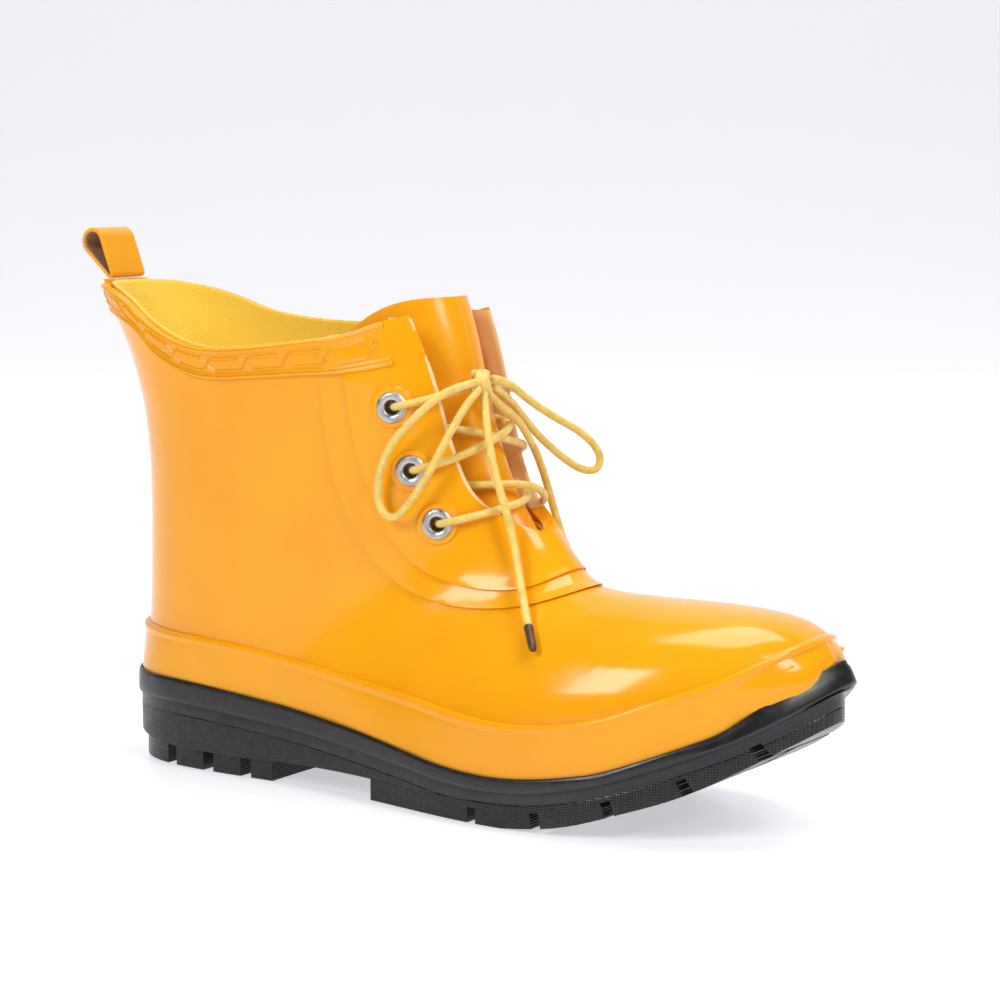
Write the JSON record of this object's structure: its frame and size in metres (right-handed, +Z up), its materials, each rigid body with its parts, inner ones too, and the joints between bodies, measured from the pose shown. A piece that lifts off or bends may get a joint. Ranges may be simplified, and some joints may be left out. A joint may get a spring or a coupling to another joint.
{
  "type": "rubber rain boot",
  "caption": "Ankle-height glossy yellow rubber rain boot for the right foot, with a laced throat, a black lugged sole, a cloth lining and a pull loop at the heel.",
  "frame": {"origin": "middle of the boot's footprint box, on the floor under the tread", "axes": "+X towards the toe, +Y towards the medial side, +Z up"},
  "size_m": [0.3054, 0.0956, 0.1888],
  "materials": {
    "yellow_rubber": "glossy",
    "black_rubber": "semi-gloss rim, matte tread",
    "lining_cloth": "woven cotton",
    "tongue_rubber": "glossy, cloth backed",
    "strap_rubber": "glossy, cloth backed",
    "eyelet_metal": "satin",
    "lace_cord": "round waxed braid",
    "lace_tip": "dipped",
    "board": "fibre board",
    "footbed_cloth": "cloth on foam",
    "stiffener": "fibre",
    "shank_steel": "plain"
  },
  "bodies": {
    "boot": {"outsole": "black_rubber", "sole_rim": "black_rubber", "foxing_band": "yellow_rubber", "upper_shell": "yellow_rubber", "eyestay_overlay": "yellow_rubber", "eyelet_facing": "yellow_rubber", "collar_band": "yellow_rubber", "heel_stay": "yellow_rubber", "pull_loop_anchor": "strap_rubber", "tongue": "tongue_rubber", "lining": "lining_cloth", "insole_board": "board", "footbed": "footbed_cloth", "heel_counter": "stiffener", "toe_puff": "stiffener", "shank": "shank_steel", "lace_knot": "lace_cord", "lace_laced": "lace_cord", "lace_loop_lateral": "lace_cord", "lace_loop_medial": "lace_cord", "lace_end_lateral": "lace_cord", "lace_end_medial": "lace_cord", "aglet_lateral": "lace_tip", "aglet_medial": "lace_tip", "eyelet_lateral_1": "eyelet_metal", "eyelet_washer_lateral_1": "eyelet_metal", "eyelet_lateral_2": "eyelet_metal", "eyelet_washer_lateral_2": "eyelet_metal", "eyelet_lateral_3": "eyelet_metal", "eyelet_washer_lateral_3": "eyelet_metal", "eyelet_medial_1": "eyelet_metal", "eyelet_washer_medial_1": "eyelet_metal", "eyelet_medial_2": "eyelet_metal", "eyelet_washer_medial_2": "eyelet_metal", "eyelet_medial_3": "eyelet_metal", "eyelet_washer_medial_3": "eyelet_metal"},
    "pull_loop": {"pull_loop": "strap_rubber"}
  },
  "joints": [
    {"name": "pull_loop_swing", "type": "hinge", "parent": "boot", "child": "pull_loop", "pos_m": [-0.14, 0.00177, 0.1724], "axis": [0, 1, 0], "range_deg": [-35, 55], "stiffness_Nm_per_rad": 0.02}
  ]
}
